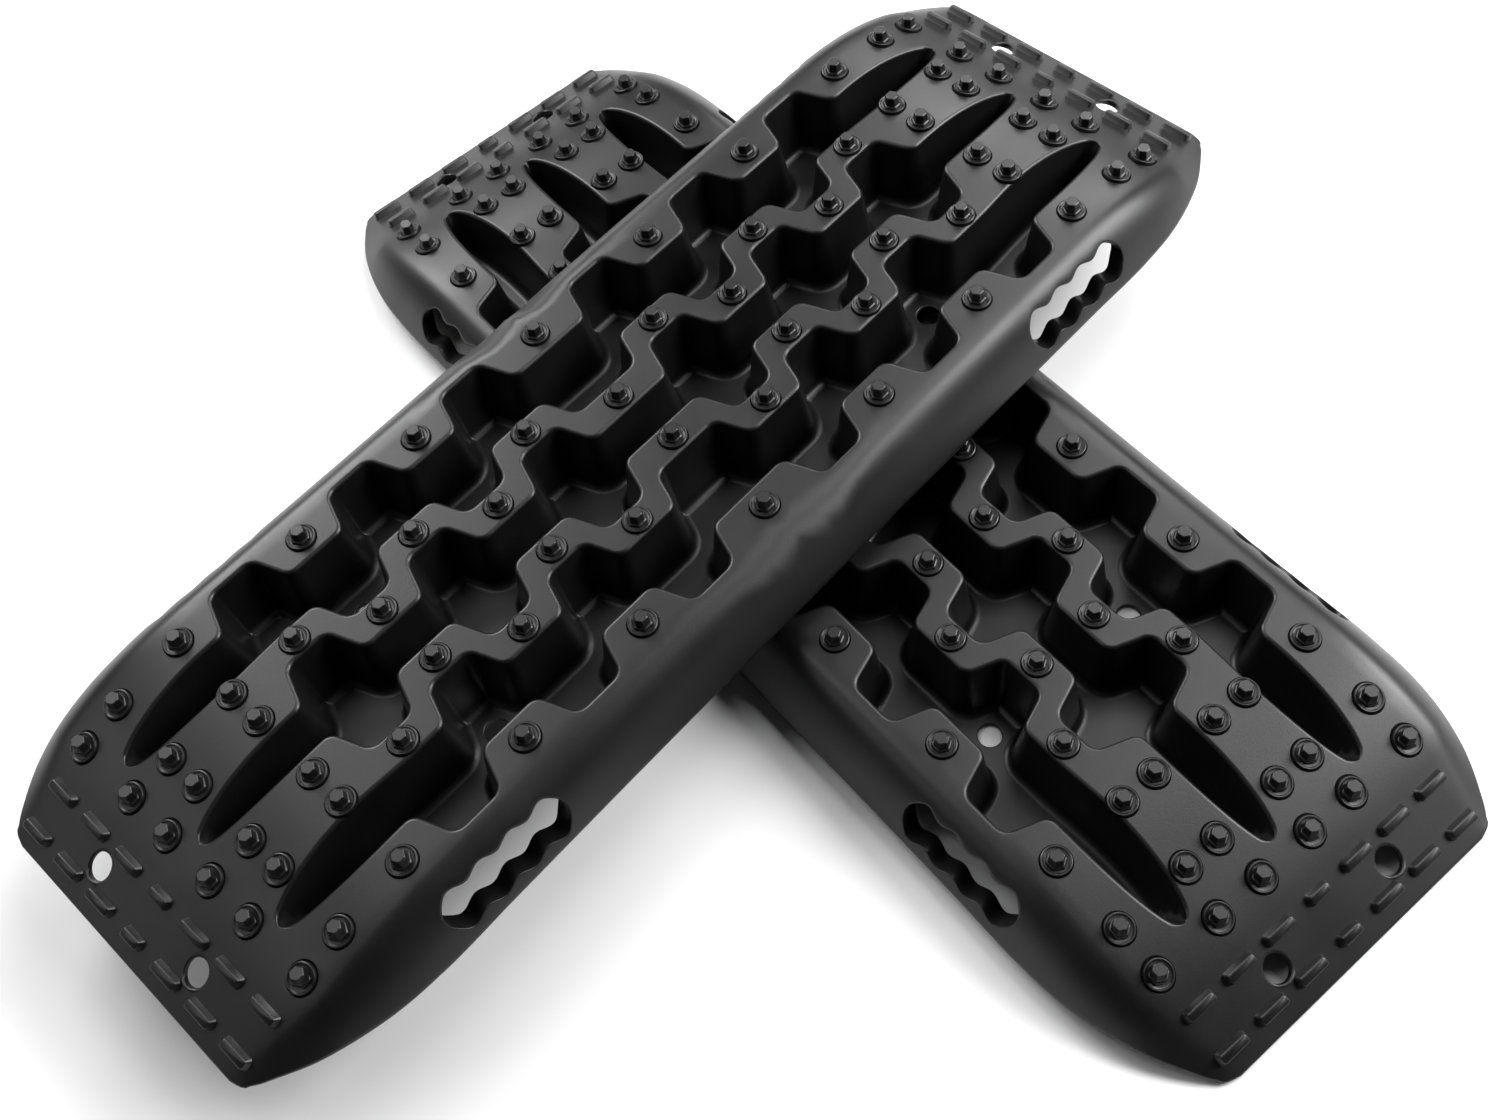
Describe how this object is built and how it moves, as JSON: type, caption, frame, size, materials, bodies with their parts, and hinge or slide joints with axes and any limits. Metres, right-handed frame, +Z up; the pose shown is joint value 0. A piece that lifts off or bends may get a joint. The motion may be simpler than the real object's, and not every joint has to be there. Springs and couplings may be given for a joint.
{
  "type": "tire traction mats",
  "caption": "Pair of black moulded traction mats, one lying across the other, with gripping studs, deep woven channels, sloped ends and handle slots, for freeing a stuck wheel.",
  "frame": {"origin": "on the ground, at the centre of the pair's bounding box in plan", "axes": "+Z up; +Y along the lower mat; +X near the length of the upper mat, which is turned 6.83 degrees from it towards +Y"},
  "size_m": [0.9442, 0.925, 0.1303],
  "materials": {
    "mat_plastic": "satin, as moulded",
    "stud_plastic": "satin, as moulded"
  },
  "bodies": {
    "lower_mat": {"lower_mat_board": "mat_plastic", "lower_left_rib_stud_01": "stud_plastic", "lower_right_rib_stud_01": "stud_plastic", "lower_left_rib_stud_02": "stud_plastic", "lower_right_rib_stud_02": "stud_plastic", "lower_left_rib_stud_03": "stud_plastic", "lower_right_rib_stud_03": "stud_plastic", "lower_left_rib_stud_04": "stud_plastic", "lower_right_rib_stud_04": "stud_plastic", "lower_left_rib_stud_05": "stud_plastic", "lower_right_rib_stud_05": "stud_plastic", "lower_left_rib_stud_06": "stud_plastic", "lower_right_rib_stud_06": "stud_plastic", "lower_left_rib_stud_07": "stud_plastic", "lower_right_rib_stud_07": "stud_plastic", "lower_left_rib_stud_08": "stud_plastic", "lower_right_rib_stud_08": "stud_plastic", "lower_left_rib_stud_09": "stud_plastic", "lower_right_rib_stud_09": "stud_plastic", "lower_left_rib_stud_10": "stud_plastic", "lower_right_rib_stud_10": "stud_plastic", "lower_left_rib_stud_11": "stud_plastic", "lower_right_rib_stud_11": "stud_plastic"},
    "upper_mat": {"upper_mat_board": "mat_plastic", "upper_left_rib_stud_01": "stud_plastic", "upper_right_rib_stud_01": "stud_plastic", "upper_left_rib_stud_02": "stud_plastic", "upper_right_rib_stud_02": "stud_plastic", "upper_left_rib_stud_03": "stud_plastic", "upper_right_rib_stud_03": "stud_plastic", "upper_left_rib_stud_04": "stud_plastic", "upper_right_rib_stud_04": "stud_plastic", "upper_left_rib_stud_05": "stud_plastic", "upper_right_rib_stud_05": "stud_plastic", "upper_left_rib_stud_06": "stud_plastic", "upper_right_rib_stud_06": "stud_plastic", "upper_left_rib_stud_07": "stud_plastic", "upper_right_rib_stud_07": "stud_plastic", "upper_left_rib_stud_08": "stud_plastic", "upper_right_rib_stud_08": "stud_plastic", "upper_left_rib_stud_09": "stud_plastic", "upper_right_rib_stud_09": "stud_plastic", "upper_left_rib_stud_10": "stud_plastic", "upper_right_rib_stud_10": "stud_plastic", "upper_left_rib_stud_11": "stud_plastic", "upper_right_rib_stud_11": "stud_plastic"}
  },
  "joints": [
    {"name": "upper_mat_lift", "type": "slide", "parent": "lower_mat", "child": "upper_mat", "axis": [0, 0, 1], "range_m": [0, 0.3]}
  ]
}
